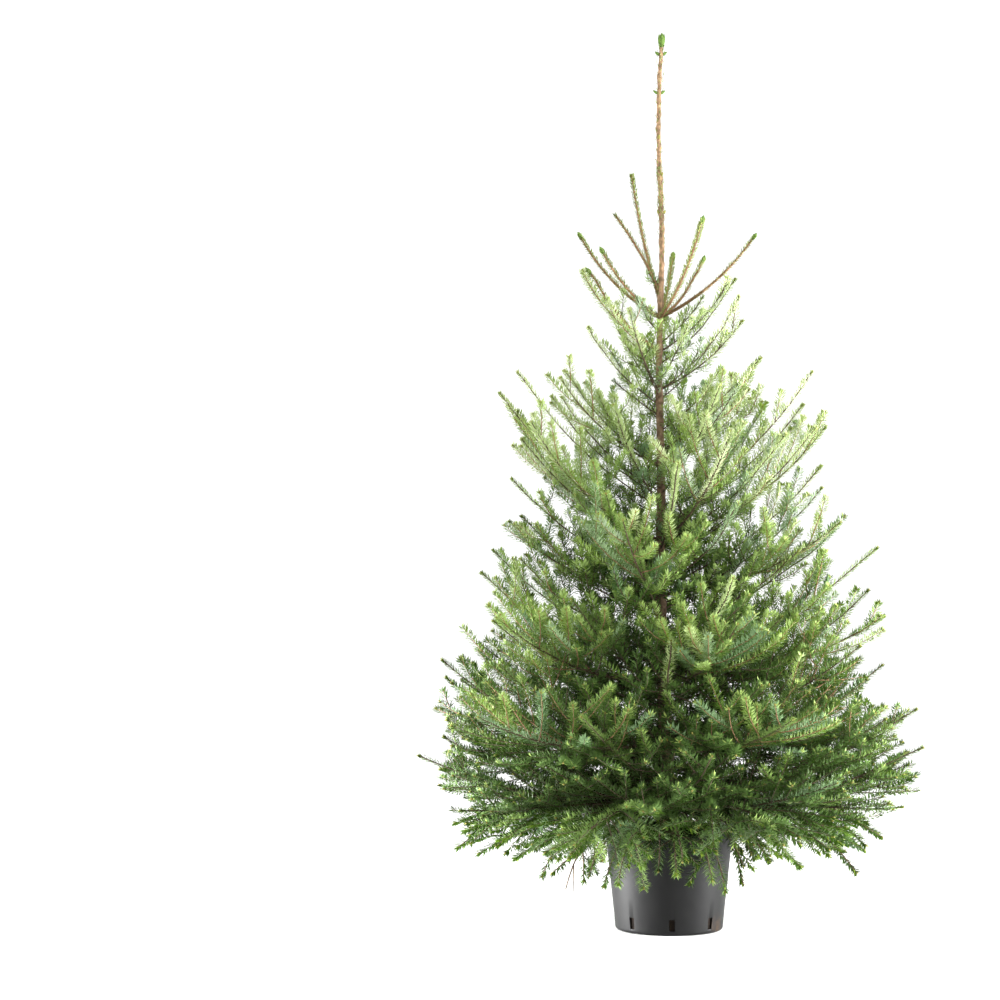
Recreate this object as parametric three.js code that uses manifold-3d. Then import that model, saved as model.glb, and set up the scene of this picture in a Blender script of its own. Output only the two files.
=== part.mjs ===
// A young spruce in a nursery pot: pot, compost, one trunk with its bare leader, the limbs of the
// three main whorls, and a needle-clad mass for every bough.
// Millimetres, +Z up. The origin is under the middle of the pot, and the front faces -Y.
import * as THREE from "three";
import { mergeVertices } from "three/addons/utils/BufferGeometryUtils.js";
import Module from "manifold-3d";

const wasm = await Module();
wasm.setup();

// Driving dimensions of the pot and the compost in it
const POT = {
  height: 198,
  footRadius: 105,
  rimRadius: 126,
  wall: 2.2,
  floor: 3,
  corner: 7,
  cornerSteps: 3,
  lip: 3,
  lipHeight: 16,
  sides: 32,
};
const SLOT = { count: 8, width: 11, height: 26, bottom: 6, depth: 30, turn: 3 };
const COMPOST_TOP = 178;

// Driving dimensions of the trunk, which leans a little and then waves towards its tip
const TRUNK = {
  sides: 8,
  tip: 1762,
  footRadius: 16,
  flare: 1.5,
  flareHeight: 45,
  flareRings: [0, 0.25, 0.6, 1],
  taper: 0.85,
  topWhorlRadius: 5.2,
  leaderRadius: 3.3,
  leaderRings: [0.2, 0.4, 0.6, 0.8, 1],
  lean: 17,
  leanHeight: 650,
  wave: 4,
  waveLength: 480,
  waveCrest: 1337,
};
const BUD = { length: 24, radius: 5.6, rings: [[0.35, 1], [0.75, 0.8], [1, 0.12]] };

// One row a whorl, lowest first. Its columns are its name, its height on the trunk, how far the feet
// of its boughs spread up and down, the number of boughs and their length, their slopes at the trunk
// and at the tip, the bearing of the first one from +X, the number of side twigs on each, how far
// those stand above the bough's own plane, how strongly they then turn up to the light or down, and
// whether the boughs show a bare limb. Angles are in degrees.
const WHORLS = [
  ["skirt", 240, 24, 6, 440, 14, -14, 8, 9, -26, -0.1, false],
  ["lower", 350, 60, 6, 516, -6, 26, 352, 9, -2, 0.55, true],
  ["broad", 505, 80, 5, 412, 2, 38, 8, 8, 6, 0.75, true],
  ["middle", 640, 80, 4, 355, 8, 44, 352, 8, 10, 0.9, false],
  ["waist", 790, 60, 5, 380, 18, 58, 8, 8, 12, 0.9, true],
  ["shoulder", 915, 70, 4, 270, 20, 54, 40, 6, 12, 0.9, false],
  ["upper", 1040, 60, 3, 220, 26, 58, 5, 4, 12, 0.9, false],
  ["collar", 1140, 20, 2, 205, 30, 62, 350, 3, 12, 0.9, false],
  ["crown", 1200, 16, 5, 250, 27, 57, 4, 0, 12, 0.9, false],
  ["spire", 1232, 0, 1, 240, 66, 80, 128, 0, 12, 0.9, false],
].map(([name, height, spread, boughs, length, rootSlope, tipSlope, bearing, twigs, lift, rise, limb]) => ({
  name, height, spread, boughs, length, rootSlope, tipSlope, bearing, twigs, lift, rise, limb,
}));
const VARIETY = { bearing: 14, length: 0.26, slope: 14, lift: 70, twigAngle: 14, twigLength: 0.3 };
const BOUGH_STEPS = 8;
const LIMB = { reach: 0.26, girth: 0.38, taper: 0.8, sides: 5 };
const STEM = { girth: 0.3, segment: 48 };
const TWIG = {
  first: 0.18,
  afterLimb: 0.27,
  last: 0.95,
  share: 0.36,
  least: 34,
  fullest: 0.75,
  angles: [60, 36],
  radius: 3,
  rings: [0, 0.2, 0.58, 1],
  points: 6,
  forward: 0.35,
  trials: [1, 0.75, 0.5],
};
const NEEDLE = { length: 36, lean: 42 };
const SEED = 20011;

// Gaps between pieces that meet, and from a bough's space to its neighbours and the pot
const GAP = 0.3;
const CLEARANCE = { neighbour: 1.5, trunk: 28, pot: 6, shoot: 18 };
const SMALLEST_EDGE = 0.1;

const COLOURS = { pot: 0x3b3b3d, compost: 0x2e241b, bark: 0x6f5540, needles: 0x5c7a3c };
const UP = new THREE.Vector3(0, 0, 1);
const radians = THREE.MathUtils.degToRad;
const { lerp, clamp } = THREE.MathUtils;

// A seeded stream of numbers from 0 to 1
function stream(seed) {
  const modulus = 2147483647;
  let state = (SEED + 7919 * seed) % modulus;
  const next = () => (state = (state * 16807) % modulus) / modulus;
  next();
  return next;
}

// A closed geometry as a solid, and a solid as a geometry
function solidOf(geometry) {
  const bare = geometry.clone();
  bare.deleteAttribute("normal");
  bare.deleteAttribute("uv");
  const merged = mergeVertices(bare);
  return new wasm.Manifold(
    new wasm.Mesh({
      numProp: 3,
      vertProperties: new Float32Array(merged.attributes.position.array),
      triVerts: new Uint32Array(merged.index.array),
    }),
  );
}

function geometryOf(solid) {
  const { vertProperties, triVerts } = solid.getMesh();
  const geometry = new THREE.BufferGeometry();
  geometry.setAttribute("position", new THREE.BufferAttribute(vertProperties, 3));
  geometry.setIndex(new THREE.BufferAttribute(triVerts, 1));
  const flat = geometry.toNonIndexed();
  flat.computeVertexNormals();
  return flat;
}

// The largest body of a solid, without sealed hollows and loose scraps
function mainBody(solid) {
  const bodies = solid.asOriginal().simplify(SMALLEST_EDGE).decompose();
  return bodies.reduce((best, body) => (body.volume() > best.volume() ? body : best));
}

// A round profile turned about Z, with its points given as [radius, height]
function turned(profile, sides) {
  const points = profile.map(([radius, height]) => new THREE.Vector2(radius, height));
  return new THREE.LatheGeometry(points, sides).rotateX(Math.PI / 2);
}

// The pot's outer radius at a height on its plain wall
function potRadius(height) {
  return lerp(POT.footRadius, POT.rimRadius, height / POT.height);
}

// The quarter round between the pot's underside and its wall
function roundedFoot() {
  const { corner, cornerSteps } = POT;
  return Array.from({ length: cornerSteps + 1 }, (_, i) => {
    const turn = (Math.PI / 2) * (i / cornerSteps);
    return [potRadius(corner) - corner * (1 - Math.sin(turn)), corner * (1 - Math.cos(turn))];
  });
}

function makePot() {
  const { height, wall, floor, lip, lipHeight } = POT;
  const top = potRadius(height);
  const underLip = height - lipHeight;
  const profile = [
    [0, 0],
    ...roundedFoot(),
    [potRadius(underLip), underLip],
    [potRadius(underLip) + lip, underLip + lip / 2],
    [top + lip, height],
    [top - wall, height],
    [potRadius(floor) - wall, floor],
    [0, floor],
  ];
  const { count, width, bottom, depth, turn } = SLOT;
  const cutter = new THREE.BoxGeometry(depth, width, SLOT.height);
  cutter.translate(potRadius(bottom), 0, bottom + SLOT.height / 2);
  let pot = solidOf(turned(profile, POT.sides));
  for (let i = 0; i < count; i++) {
    const bearing = radians(turn - 90 + (360 * i) / count);
    pot = pot.subtract(solidOf(cutter.clone().rotateZ(bearing)));
  }
  return mainBody(pot);
}

function makeCompost() {
  const inside = (height) => potRadius(height) - POT.wall - 2 * GAP;
  const foot = POT.floor + GAP;
  const profile = [
    [0, foot],
    [inside(foot), foot],
    [inside(COMPOST_TOP), COMPOST_TOP],
    [0, COMPOST_TOP],
  ];
  return solidOf(turned(profile, POT.sides));
}

// The middle and the radius of the trunk at a height
function trunkCentre(height) {
  const grown = height - COMPOST_TOP;
  const lean = Math.sin((Math.PI / 2) * clamp(grown / TRUNK.leanHeight, 0, 1));
  const wave = Math.cos((2 * Math.PI * (height - TRUNK.waveCrest)) / TRUNK.waveLength);
  const share = clamp(grown / (TRUNK.tip - COMPOST_TOP), 0, 1);
  return new THREE.Vector3(TRUNK.wave * wave * share - TRUNK.lean * lean, 0, height);
}

function trunkRadius(height) {
  const topWhorl = WHORLS.at(-1).height;
  const grown = height - COMPOST_TOP;
  const flare = 1 + (TRUNK.flare - 1) * Math.max(0, 1 - grown / TRUNK.flareHeight) ** 2;
  if (height < topWhorl) {
    const share = clamp(grown / (topWhorl - COMPOST_TOP), 0, 1);
    return lerp(TRUNK.footRadius, TRUNK.topWhorlRadius, share ** TRUNK.taper) * flare;
  }
  return lerp(TRUNK.topWhorlRadius, TRUNK.leaderRadius, (height - topWhorl) / (TRUNK.tip - topWhorl));
}

// A tapering round limb through a list of { centre, radius } rings. It is pointed where the last
// radius is 0, and the rings of an upright one lie level.
function limbThrough(rings, sides, upright = false) {
  const steps = rings.length - 1;
  const geometry = new THREE.CylinderGeometry(rings[steps].radius > 0 ? 1 : 0, 1, 1, sides, steps);
  const curve = new THREE.CatmullRomCurve3(rings.map((ring) => ring.centre));
  const tangents = rings.map((_, i) => (upright ? UP : curve.getTangent(i / steps)));
  const across = Math.abs(tangents[0].x) < 0.8 ? new THREE.Vector3(1, 0, 0) : new THREE.Vector3(0, 1, 0);
  const position = geometry.attributes.position;
  for (let i = 0; i < position.count; i++) {
    const step = Math.round((position.getY(i) + 0.5) * steps);
    const { centre, radius } = rings[step];
    const tangent = tangents[step];
    const right = across.clone().addScaledVector(tangent, -across.dot(tangent)).normalize();
    const back = right.clone().cross(tangent);
    const fromAxis = Math.hypot(position.getX(i), position.getZ(i));
    const scale = fromAxis > 0 ? radius / fromAxis : 0;
    const place = centre.clone().addScaledVector(right, position.getX(i) * scale);
    place.addScaledVector(back, position.getZ(i) * scale);
    position.setXYZ(i, place.x, place.y, place.z);
  }
  return geometry;
}

// The trunk's rings stand closer at the root flare and at the bud on its tip
function trunkRings(extra) {
  const foot = COMPOST_TOP + GAP;
  const budFoot = TRUNK.tip - BUD.length;
  const whorlHeights = WHORLS.slice(1).map((whorl) => whorl.height);
  const heights = [
    ...TRUNK.flareRings.map((share) => foot + share * TRUNK.flareHeight),
    ...whorlHeights,
    ...TRUNK.leaderRings.map((share) => lerp(whorlHeights.at(-1), budFoot, share)),
  ];
  const wood = heights.map((height) => ({
    centre: trunkCentre(height),
    radius: trunkRadius(height) + extra,
  }));
  const bud = BUD.rings.map(([share, thickness]) => ({
    centre: trunkCentre(budFoot + share * BUD.length),
    radius: thickness * BUD.radius + extra,
  }));
  return [...wood, ...bud];
}

const trunk = solidOf(limbThrough(trunkRings(0), TRUNK.sides, true));
const trunkRoom = solidOf(limbThrough(trunkRings(GAP), TRUNK.sides, true));

// The line of one bough, drawn from its own seed
function boughOf(whorl, whorlNumber, number) {
  const random = stream(100 * (whorlNumber + 1) + number);
  const vary = (size) => size * (random() - 0.5);
  const bearing = radians(whorl.bearing + (360 * number) / whorl.boughs + vary(VARIETY.bearing));
  const length = whorl.length * (1 + vary(VARIETY.length));
  const tilt = vary(VARIETY.slope);
  const start = trunkCentre(whorl.height + vary(whorl.spread));
  const points = [start];
  for (let i = 0; i < BOUGH_STEPS; i++) {
    const share = (i + 0.5) / BOUGH_STEPS;
    const slope = radians(lerp(whorl.rootSlope, whorl.tipSlope, share) + tilt);
    const step = new THREE.Vector3(
      Math.cos(slope) * Math.cos(bearing),
      Math.cos(slope) * Math.sin(bearing),
      Math.sin(slope),
    );
    points.push(points[i].clone().addScaledVector(step, length / BOUGH_STEPS));
  }
  return { whorl, number, length, random, points, line: new THREE.CatmullRomCurve3(points) };
}

const boughs = WHORLS.flatMap((whorl, whorlNumber) =>
  Array.from({ length: whorl.boughs }, (_, number) => boughOf(whorl, whorlNumber, number)),
);

// The distance from a place to a line drawn through points
function distanceTo(points, place) {
  const span = new THREE.Line3();
  const near = new THREE.Vector3();
  let nearest = Infinity;
  for (let i = 0; i + 1 < points.length; i++) {
    span.set(points[i], points[i + 1]);
    nearest = Math.min(nearest, span.closestPointToPoint(place, true, near).distanceTo(place));
  }
  return nearest;
}

// A bough's own space is nearer to its line than to any other, and clear of the trunk and the pot
function inOwnSpace(point, bough) {
  const centre = trunkCentre(point.z);
  const fromTrunk = Math.hypot(point.x - centre.x, point.y - centre.y);
  if (fromTrunk < trunkRadius(point.z) + CLEARANCE.trunk && point.z < TRUNK.tip) return false;
  const fromAxis = Math.hypot(point.x, point.y);
  const potReach = potRadius(POT.height) + POT.lip + CLEARANCE.pot;
  if (point.z < POT.height + CLEARANCE.pot && fromAxis < potReach) return false;
  const room = distanceTo(bough.points, point) + CLEARANCE.neighbour;
  return boughs.every((other) => other === bough || distanceTo(other.points, point) > room);
}

// A needle-clad shoot: a slim three-sided core along a line, with a needle drawn out of its faces
// wherever the needle stays in the bough's own space and clear of the bough's other shoots
function needledShoot(shoot, bough, shoots) {
  const { curve, shares, radius } = shoot;
  const rings = shares.map((share, i) => ({
    centre: curve.getPointAt(share),
    radius: radius * (1 - i / (shares.length - 1)),
  }));
  const core = limbThrough(rings, 3);
  core.deleteAttribute("normal");
  core.deleteAttribute("uv");
  const { attributes, index } = mergeVertices(core);
  const sideFaces = 6 * (shares.length - 1) - 3;
  const others = shoots.filter((other) => other !== shoot);
  const corners = [];
  for (let first = 0; first < index.count; first += 3) {
    const face = [0, 1, 2].map((k) =>
      new THREE.Vector3().fromBufferAttribute(attributes.position, index.getX(first + k)),
    );
    const [a, b, c] = face;
    const foot = a.clone().add(b).add(c).divideScalar(3);
    const tip = needleTip(face, foot, curve.getTangentAt(lerp(shares[0], 1, 0.5)));
    const places = [foot, foot.clone().lerp(tip, 0.5), tip];
    const clear = others.every((other) =>
      places.every((place) => distanceTo(other.points, place) > CLEARANCE.shoot),
    );
    const needled = first < 3 * sideFaces && clear && places.every((place) => inOwnSpace(place, bough));
    corners.push(...(needled ? [a, b, tip, b, c, tip, c, a, tip] : face));
  }
  return solidOf(mergeVertices(new THREE.BufferGeometry().setFromPoints(corners)));
}

// A needle stands out of the middle of a face and leans towards the shoot's tip
function needleTip([a, b, c], foot, forward) {
  const outward = b.clone().sub(a).cross(c.clone().sub(a)).normalize();
  const lean = radians(NEEDLE.lean);
  const tip = foot.clone().addScaledVector(outward, NEEDLE.length * Math.sin(lean));
  return tip.addScaledVector(forward, NEEDLE.length * Math.cos(lean));
}

// Side twigs leave a bough by turns right and left, longest about two fifths along, and bend forwards
// and to the light.
// One that would leave the bough's space is tried shorter and then left out.
function sideTwigs(bough) {
  const { whorl, random, line } = bough;
  const vary = (size) => size * (random() - 0.5);
  const twigs = [];
  for (let i = 0; i < whorl.twigs; i++) {
    const share = lerp(whorl.limb ? TWIG.afterLimb : TWIG.first, TWIG.last, (i + 0.5) / whorl.twigs);
    const start = line.getPointAt(share);
    const along = line.getTangentAt(share);
    const side = UP.clone().cross(along).normalize();
    const over = along.clone().cross(side);
    const angle = radians(lerp(TWIG.angles[0], TWIG.angles[1], share) + vary(VARIETY.twigAngle));
    const lift = radians(whorl.lift + vary(VARIETY.lift));
    const fullness = Math.sin(Math.PI * share ** TWIG.fullest);
    const length = (TWIG.least + TWIG.share * bough.length * fullness) * (1 + vary(VARIETY.twigLength));
    const hand = i % 2 ? 1 : -1;
    const outward = side.multiplyScalar(hand * Math.cos(lift)).addScaledVector(over, Math.sin(lift));
    const heading = along.clone().multiplyScalar(Math.cos(angle)).addScaledVector(outward, Math.sin(angle));
    for (const trial of TWIG.trials) {
      const reach = length * trial;
      const middle = start.clone().addScaledVector(heading, reach / 2);
      const bent = heading.clone().addScaledVector(along, TWIG.forward);
      bent.addScaledVector(UP, whorl.rise).normalize();
      const end = middle.clone().addScaledVector(bent, reach / 2);
      const needled = end.clone().addScaledVector(bent, NEEDLE.length / 2);
      const curve = new THREE.QuadraticBezierCurve3(start, middle, end);
      const points = curve.getPoints(TWIG.points);
      if (![...points.slice(1), needled].every((point) => inOwnSpace(point, bough))) continue;
      twigs.push({ curve, points, shares: TWIG.rings, radius: TWIG.radius });
      break;
    }
  }
  return twigs;
}

// A bough's bare limb, from the trunk to where its foliage begins
function makeLimb(bough) {
  const radius = LIMB.girth * trunkRadius(bough.whorl.height);
  const rings = [0, 0.5, 1].map((share) => ({
    centre: bough.line.getPointAt(share * LIMB.reach),
    radius: lerp(radius, radius * LIMB.taper, share),
  }));
  return mainBody(solidOf(limbThrough(rings, LIMB.sides)).subtract(trunkRoom));
}

// A bough's mass: its stem and side twigs, fused, from the end of its limb or from the trunk
function makeMass(bough) {
  const from = bough.whorl.limb ? LIMB.reach + GAP / bough.length : 0;
  const segments = Math.max(3, Math.round(((1 - from) * bough.length) / STEM.segment));
  const stem = {
    curve: bough.line,
    points: bough.points,
    shares: Array.from({ length: segments + 1 }, (_, i) => lerp(from, 1, i / segments)),
    radius: STEM.girth * trunkRadius(bough.whorl.height),
  };
  const shoots = [stem, ...sideTwigs(bough)];
  const solids = shoots.map((shoot) => needledShoot(shoot, bough, shoots));
  return mainBody(wasm.Manifold.union(solids).subtract(trunkRoom));
}

const MATERIALS = {
  pot: new THREE.MeshStandardMaterial({ color: COLOURS.pot, roughness: 0.5, metalness: 0 }),
  compost: new THREE.MeshStandardMaterial({ color: COLOURS.compost, roughness: 0.95, metalness: 0 }),
  bark: new THREE.MeshStandardMaterial({ color: COLOURS.bark, roughness: 0.85, metalness: 0 }),
  needles: new THREE.MeshStandardMaterial({ color: COLOURS.needles, roughness: 0.6, metalness: 0 }),
};

const spruce = new THREE.Group();

function addPiece(name, solid, material) {
  const mesh = new THREE.Mesh(geometryOf(solid), material);
  mesh.name = name;
  spruce.add(mesh);
}

addPiece("pot", makePot(), MATERIALS.pot);
addPiece("compost", makeCompost(), MATERIALS.compost);
addPiece("trunk", trunk, MATERIALS.bark);
for (const bough of boughs) {
  const { name, limb } = bough.whorl;
  const copy = bough.number + 1;
  if (limb) addPiece(`${name}_limb_${copy}`, makeLimb(bough), MATERIALS.bark);
  addPiece(`${name}_mass_${copy}`, makeMass(bough), MATERIALS.needles);
}

export default spruce;
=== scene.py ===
"""The looks of a young spruce in a nursery pot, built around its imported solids.

Metres, +Z up, in the solids' own frame. The growth rule of the part's source is written again here and
carried on to finer twigs and single needles.
"""

import math
from collections import namedtuple

import bmesh
import bpy
import numpy as np
from mathutils import Matrix, Vector, noise


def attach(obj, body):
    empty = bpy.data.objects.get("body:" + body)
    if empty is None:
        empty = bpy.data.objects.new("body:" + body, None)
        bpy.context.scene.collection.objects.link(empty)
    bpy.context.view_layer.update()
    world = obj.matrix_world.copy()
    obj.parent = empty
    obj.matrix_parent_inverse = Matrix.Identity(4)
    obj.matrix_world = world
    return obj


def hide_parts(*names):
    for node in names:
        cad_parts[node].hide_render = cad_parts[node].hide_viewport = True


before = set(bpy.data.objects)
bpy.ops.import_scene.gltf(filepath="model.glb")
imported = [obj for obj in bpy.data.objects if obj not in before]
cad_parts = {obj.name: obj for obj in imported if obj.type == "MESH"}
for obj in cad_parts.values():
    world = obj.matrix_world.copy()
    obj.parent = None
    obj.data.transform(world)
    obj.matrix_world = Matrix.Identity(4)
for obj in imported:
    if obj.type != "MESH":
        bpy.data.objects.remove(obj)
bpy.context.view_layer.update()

MM = 0.001
UP = np.array([0.0, 0.0, 1.0])
MOST_TRIANGLES = 200_000

# Sizes of the pot and its filling, as in the part's source
POT_HEIGHT = 198 * MM
POT_FOOT_RADIUS = 105 * MM
POT_RIM_RADIUS = 126 * MM
POT_WALL = 2.2 * MM
POT_FLOOR = 3 * MM
POT_CORNER = 7 * MM
POT_LIP = 3 * MM
POT_LIP_HEIGHT = 16 * MM
SLOT_COUNT = 8
SLOT_BOTTOM = 6 * MM
SLOT_HEIGHT = 26 * MM
SLOT_TURN = 3
COMPOST_TOP = 178 * MM
GAP = 0.3 * MM

# Sizes of the trunk, as in the part's source
TRUNK_TIP = 1762 * MM
TRUNK_FOOT_RADIUS = 16 * MM
TRUNK_FLARE = 1.5
TRUNK_FLARE_HEIGHT = 45 * MM
TRUNK_TAPER = 0.85
TOP_WHORL_RADIUS = 5.2 * MM
LEADER_RADIUS = 3.3 * MM
TRUNK_LEAN = 17 * MM
TRUNK_LEAN_HEIGHT = 650 * MM
TRUNK_WAVE = 4 * MM
TRUNK_WAVE_LENGTH = 480 * MM
TRUNK_WAVE_CREST = 1337 * MM
BUD_LENGTH = 24 * MM
BUD_RADIUS = 5.6 * MM

# One row a whorl, as in the part's source: name, height on the trunk, spread of the feet, number and
# length of the boughs, slopes at the trunk and at the tip, bearing of the first from +X, side twigs,
# how far those stand above the bough's plane, how strongly they then turn up to the light or down, and
# whether a bare limb shows. Lengths are in mm and angles in degrees.
Whorl = namedtuple(
    "Whorl", "name height spread boughs length root_slope tip_slope bearing twigs lift rise limb"
)
WHORLS = [
    Whorl("skirt", 240, 24, 6, 440, 14, -14, 8, 9, -26, -0.1, False),
    Whorl("lower", 350, 60, 6, 516, -6, 26, 352, 9, -2, 0.55, True),
    Whorl("broad", 505, 80, 5, 412, 2, 38, 8, 8, 6, 0.75, True),
    Whorl("middle", 640, 80, 4, 355, 8, 44, 352, 8, 10, 0.9, False),
    Whorl("waist", 790, 60, 5, 380, 18, 58, 8, 8, 12, 0.9, True),
    Whorl("shoulder", 915, 70, 4, 270, 20, 54, 40, 6, 12, 0.9, False),
    Whorl("upper", 1040, 60, 3, 220, 26, 58, 5, 4, 12, 0.9, False),
    Whorl("collar", 1140, 20, 2, 205, 30, 62, 350, 3, 12, 0.9, False),
    Whorl("crown", 1200, 16, 5, 250, 27, 57, 4, 0, 12, 0.9, False),
    Whorl("spire", 1232, 0, 1, 240, 66, 80, 128, 0, 12, 0.9, False),
]
TOP_WHORL = WHORLS[-1].height * MM
# Lesser boughs between the whorls. At the two sides of the crown they end where the photo shows a tip:
# how far from the middle of the pot, and how high, in mm.
LEFT_TIPS = [
    (97, 1412), (150, 1295), (35, 1288), (156, 1177), (177, 1071), (297, 1085), (333, 1060), (211, 1027),
    (296, 962), (301, 887), (309, 805), (349, 746), (388, 700), (359, 608), (392, 564), (449, 525),
    (457, 474), (420, 415), (441, 362), (491, 328), (461, 267), (402, 170), (254, 96), (201, 80),
]
RIGHT_TIPS = [
    (83, 1320), (130, 1280), (140, 1236), (177, 1126), (264, 1081), (258, 1031), (280, 980),
    (311, 923), (288, 854), (311, 785), (388, 752), (392, 663), (357, 568), (420, 505), (477, 444),
    (440, 400), (481, 361), (465, 312), (445, 259), (416, 184), (366, 139), (146, 80),
]
# They stand before and behind the crown's outline by turns, by these angles in radians
SIDE_TURNS = (-0.24, 0.2)
SIDE_TURN_SPREAD = 0.06
# The slim shoots at the tips are shorter on the right, by this factor
RIGHT_SLIM = 0.6
# All round, their tips stand within this reach at this height, in mm, more of them low down
AROUND_COUNT = 70
AROUND_SPAN = (150, 1150)
AROUND_CROWDING = 1.35
AROUND_SHARES = (0.72, 1.0)
AROUND_HEIGHTS = (100, 170, 270, 330, 450, 550, 660, 750, 850, 950, 1050, 1100, 1180)
AROUND_REACHES = (250, 380, 450, 475, 455, 415, 370, 350, 290, 280, 255, 215, 150)
# More of them stand round the top of the crown, between these heights, and are shorter on the left
TOP_COUNT = 11
TOP_HEIGHTS = (1060, 1260)
TOP_REACHES = (170, 90)
TOP_SHARES = (0.7, 1.05)
TOP_LEAN = 0.35
TOP_TURN = 1
# And some hang round the pot, higher at its right and its left, beyond this cosine of their bearing
APRON_COUNT = 26
APRON_HEIGHTS = (100, 138)
APRON_REACHES = (158, 220)
APRON_SWING = 0.3
APRON_SIDE = 0.6
APRON_RIGHT = 120
APRON_LEFT = 70
# Their slopes at the trunk and at the tip, in degrees, for the heights of their tips
SLOPE_HEIGHTS = (80, 170, 260, 330, 500, 750, 950, 1100, 1200, 1320, 1412)
ROOT_SLOPES = (15, 8, 0, 0, 8, 16, 24, 30, 34, 36, 64)
TIP_SLOPES = (-75, -40, 4, 26, 38, 46, 52, 56, 60, 64, 62)
LOWEST_FOOT = 236 * MM
# The lower edge of the crown: its height in metres, by the distance from the trunk. Only bare boughs,
# with their tip below the first value, hang deeper.
BARE_BELOW = 0.085
HEM_REACHES = (0.15, 0.20, 0.25, 0.33, 0.38, 0.42, 0.47)
HEM_HEIGHTS = (0.105, 0.14, 0.195, 0.15, 0.165, 0.2, 0.27)
# The tips below each height belong with this whorl's needles
WHORL_TOPS = [
    ("skirt", 205), ("lower", 420), ("broad", 600), ("middle", 750), ("waist", 900), ("shoulder", 1020),
    ("upper", 1120), ("collar", 1290), ("crown", 2000),
]
# The growth rule's own values, as in the part's source
SEED = 20011
VARIETY = {"bearing": 14, "length": 0.26, "slope": 14, "lift": 70, "twig_angle": 14, "twig_length": 0.3}
BOUGH_STEPS = 8
LIMB_GIRTH = 0.38
STEM_GIRTH = 0.3
LESSER_GIRTH = 0.7
TWIG_FIRST = 0.18
TWIG_AFTER_LIMB = 0.27
TWIG_LAST = 0.95
TWIG_SHARE = 0.36
TWIG_LEAST = 34 * MM
TWIG_FULLEST = 0.75
TWIG_ANGLES = (60, 36)
TWIG_FORWARD = 0.35
TWIG_TRIALS = (1, 0.75, 0.5)
SOLID_NEEDLE = 36 * MM
CLEAR_OF_NEIGHBOUR = 1.5 * MM
CLEAR_OF_TRUNK = 28 * MM
CLEAR_OF_POT = 6 * MM
# The crown's own reach, by height, both in metres, and where its inside ends as a share of that
CROWN_HEIGHTS = (0.12, 0.2, 0.3, 0.5, 0.7, 0.9, 1.1, 1.3, 1.5)
CROWN_REACHES = (0.2, 0.28, 0.46, 0.46, 0.38, 0.32, 0.25, 0.2, 0.15)
INSIDE = 0.5

# The share of a bough, at its tip, that is this year's growth: a slim shoot with no side twigs
EXTENSION = {
    "skirt": 0.1, "lower": 0.14, "broad": 0.2, "middle": 0.26, "waist": 0.4, "shoulder": 0.42,
    "upper": 0.42, "collar": 0.46, "crown": 1.0, "spire": 1.0,
}
EXTENSION_SHARES = (0.75, 1.3)
# Whorls that are this year's shoots, with young bark all along
SHOOT_WHORLS = ("crown", "spire")

# Where in its own stretch of wood a fine twig or a sprig stands, and a needle in its own
TWIG_PLACES = (0.2, 0.8)
NEEDLE_PLACES = (0.1, 0.9)
# Finer twigs between those of the source: spacing along the wood, and lengths as shares of their parent
FINE_FIRST = 0.06
FINE_SPACING = 14 * MM
FINE_CLEAR = 6 * MM
FINE_SHORTER = (0.9, 0.55)
FINE_SHORTER_HEIGHTS = (0.6, 1.0)
FINE_RISE = 0.35
FINE_RISE_SPREAD = 0.3
FINE_ANGLE_SPREAD = 13
FINE_LIFT_SPREAD = 34
FINE_SHARES = (0.6, 1.1)
LOW_RISES = {"skirt": -0.4, "lower": 0.38, "broad": 0.75}
SPRIG_PARENT = 70 * MM
SPRIG_SPACING = 30 * MM
SPRIG_SHARES = (0.8, 0.5)
SPRIG_LEAST = 48 * MM
SPRIG_ANGLES = (52, 40)
SPRIG_ANGLE_SPREAD = 8
SPRIG_LIFT = 10
SPRIG_LIFT_SPREAD = 28
SPRIG_LENGTHS = (0.7, 1.1)
SPRIG_SPAN = (0.14, 0.86)
SPRIG_FORWARD = 0.5
SPRIG_STEPS = 4
# Lesser boughs and finer twigs are a little crooked
LESSER_SWAY = 2.5 * MM
FINE_SWAY = 0.9 * MM
# A new shoot needs room: no more than this share of the cells that its outer part, from a share of its
# length on, runs through may be taken already
SHOOT_ROOM = 30 * MM
ROOM_FROM = 0.35
CROWDED = (0.6, 0.5, 0.28)
CROWDED_HEIGHTS = (0.18, 0.35, 1.0)
CROWDED_INSIDE = 0.6
# The crown's shoots, longer or shorter than their solids
CROWN_STRETCH = (1.09, 0.78, 1.07, 0.86, 1.0)
# Side twigs end within this share of the crown's reach, by height in metres, and the boughs' tips stand out
LEFT_EDGES = (1.7, 1.55, 1.28, 1.08, 0.98, 0.95, 0.95, 0.9, 0.8, 0.62, 0.55)
RIGHT_EDGES = (1.7, 1.6, 1.34, 1.15, 1.08, 1.0, 0.87, 0.9, 0.95, 1.0, 0.8)
EDGE_HEIGHTS = (0.12, 0.2, 0.24, 0.28, 0.32, 0.45, 0.6, 0.75, 0.9, 1.05, 1.2)
TWIG_RADII = (1.4 * MM, 0.7 * MM)
SPRIG_RADII = (1.0 * MM, 0.6 * MM)
BARE_RADII = (2.4 * MM, 1.3 * MM)
BOUGH_TIP_RADIUS = 1.3 * MM
SHOOT_RADII = (3.4 * MM, 2.0 * MM)
# The wood of boughs, twigs and sprigs: sides, spacing of the rings, and how their girth varies
WOOD_SIDES = (5, 3, 3)
WOOD_RINGS = (22 * MM, 32 * MM, 36 * MM)
WOOD_GIRTHS = (0.88, 1.12)
# Twigs above this height and outside this share of the crown's reach have young bark
YOUNG_BARK_FROM = 0.42
YOUNG_BARK_OUTSIDE = 0.7

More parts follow.
